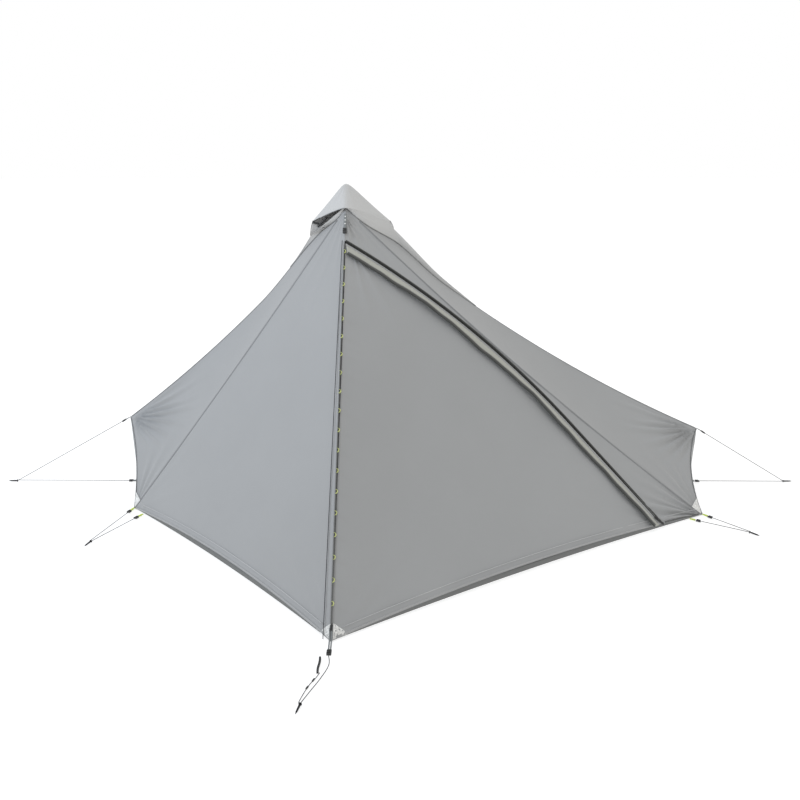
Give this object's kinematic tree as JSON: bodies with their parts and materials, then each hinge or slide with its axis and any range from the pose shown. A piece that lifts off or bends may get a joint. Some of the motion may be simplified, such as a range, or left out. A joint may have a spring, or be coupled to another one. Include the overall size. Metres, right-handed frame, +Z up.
{
  "type": "trekking shelter",
  "caption": "Six-sided pyramid shelter on an inner A-frame of telescoping poles, with a hooded vented peak, a diagonal zip door, a groundsheet and staked guy lines.",
  "frame": {"origin": "on the ground, half way between the outermost pegs along X and Y", "axes": "+X along the shelter from the left end to the right end, -Y towards the door side, +Z up"},
  "size_m": [4.392, 3.5916, 1.6196],
  "materials": {
    "fly_cloth": "coated ripstop, slight sheen",
    "hood_cloth": "coated ripstop, lighter",
    "groundsheet_cloth": "coated, dark",
    "flap_cloth": "coated ripstop",
    "lime_webbing": "woven webbing",
    "dark_tape": "woven tape",
    "grey_webbing": "woven webbing",
    "pole_tube": "anodised dark",
    "pole_tube_inner": "anodised clear",
    "foot_rubber": "moulded",
    "pin_steel": "turned",
    "peg_metal": "anodised black",
    "slider_metal": "satin",
    "black_plastic": "moulded",
    "guy_cord": "braided cord"
  },
  "bodies": {
    "shelter": {"buckles": "black_plastic", "crown_pins": "pin_steel", "fly_back_left": "fly_cloth", "fly_back_right": "fly_cloth", "fly_front_left": "fly_cloth", "fly_front_right": "fly_cloth", "fly_left_end": "fly_cloth", "fly_left_shoulder_back": "fly_cloth", "fly_left_shoulder_front": "fly_cloth", "fly_right_end": "fly_cloth", "fly_right_shoulder_back": "fly_cloth", "fly_right_shoulder_front": "fly_cloth", "groundsheet": "groundsheet_cloth", "groundsheet_walls": "groundsheet_cloth", "guy_left_back_corner": "guy_cord", "guy_left_back_floor": "guy_cord", "guy_left_front_corner": "guy_cord", "guy_left_front_floor": "guy_cord", "guy_left_low": "guy_cord", "guy_left_raised": "guy_cord", "guy_right_back_corner": "guy_cord", "guy_right_back_floor": "guy_cord", "guy_right_front_corner": "guy_cord", "guy_right_front_floor": "guy_cord", "guy_right_low": "guy_cord", "guy_right_raised": "guy_cord", "hood_skirts": "hood_cloth", "line_tensioners": "black_plastic", "peak_hood": "hood_cloth", "peak_strap": "grey_webbing", "pegs": "peg_metal", "pole_crown": "black_plastic", "ridge_cord": "guy_cord", "ridge_tabs": "lime_webbing", "ridge_tapes": "dark_tape", "tip_cord_back": "guy_cord", "tip_cord_front": "guy_cord", "tip_straps": "grey_webbing", "tip_tail_front": "guy_cord", "webbing_loops": "lime_webbing", "zip_track_fly": "dark_tape"},
    "door": {"door_panel": "fly_cloth", "zip_track_door": "dark_tape", "storm_flap": "flap_cloth"},
    "zip_slider": {"zip_slider": "slider_metal", "zip_pull": "black_plastic"},
    "left_vent": {"vent_prop_left": "black_plastic"},
    "right_vent": {"vent_prop_right": "black_plastic"},
    "front_leg": {"front_pole_upper": "pole_tube", "front_pole_clamp": "black_plastic"},
    "front_leg_lower": {"front_pole_lower": "pole_tube_inner", "front_pole_foot": "foot_rubber"},
    "front_lever": {"front_pole_lever": "black_plastic"},
    "back_leg": {"back_pole_upper": "pole_tube", "back_pole_clamp": "black_plastic"},
    "back_leg_lower": {"back_pole_lower": "pole_tube_inner", "back_pole_foot": "foot_rubber"},
    "back_lever": {"back_pole_lever": "black_plastic"}
  },
  "joints": [
    {"name": "door_swing", "type": "hinge", "parent": "shelter", "child": "door", "pos_m": [-0.265, -0.05, 1.5], "axis": [0, -0.6724, -0.7402], "range_deg": [0, 150]},
    {"name": "zip_slide", "type": "slide", "parent": "door", "child": "zip_slider", "axis": [-0.6743, 0.2512, 0.6944], "range_m": [0, 0.6]},
    {"name": "front_leg_swing", "type": "hinge", "parent": "shelter", "child": "front_leg", "pos_m": [-0.265, -0.026, 1.425], "axis": [-1, 0, 0], "range_deg": [0, 8]},
    {"name": "front_pole_slide", "type": "slide", "parent": "front_leg", "child": "front_leg_lower", "axis": [0, 0.4603, 0.8877], "range_m": [0, 0.35]},
    {"name": "front_lever_turn", "type": "hinge", "parent": "front_leg", "child": "front_lever", "pos_m": [-0.2465, -0.41406, 0.67663], "axis": [0, 0.4603, 0.8877], "range_deg": [0, 110]},
    {"name": "back_leg_swing", "type": "hinge", "parent": "shelter", "child": "back_leg", "pos_m": [-0.265, 0.026, 1.425], "axis": [1, 0, 0], "range_deg": [0, 8]},
    {"name": "back_pole_slide", "type": "slide", "parent": "back_leg", "child": "back_leg_lower", "axis": [0, -0.4603, 0.8877], "range_m": [0, 0.35]},
    {"name": "back_lever_turn", "type": "hinge", "parent": "back_leg", "child": "back_lever", "pos_m": [-0.2465, 0.41406, 0.67663], "axis": [0, -0.4603, 0.8877], "range_deg": [0, 110]},
    {"name": "left_vent_fold", "type": "hinge", "parent": "shelter", "child": "left_vent", "pos_m": [-0.3826, 0, 1.40328], "axis": [0, 1, 0], "range_deg": [0, 65]},
    {"name": "right_vent_fold", "type": "hinge", "parent": "shelter", "child": "right_vent", "pos_m": [-0.1145, 0, 1.40968], "axis": [0, -1, 0], "range_deg": [0, 65]}
  ]
}
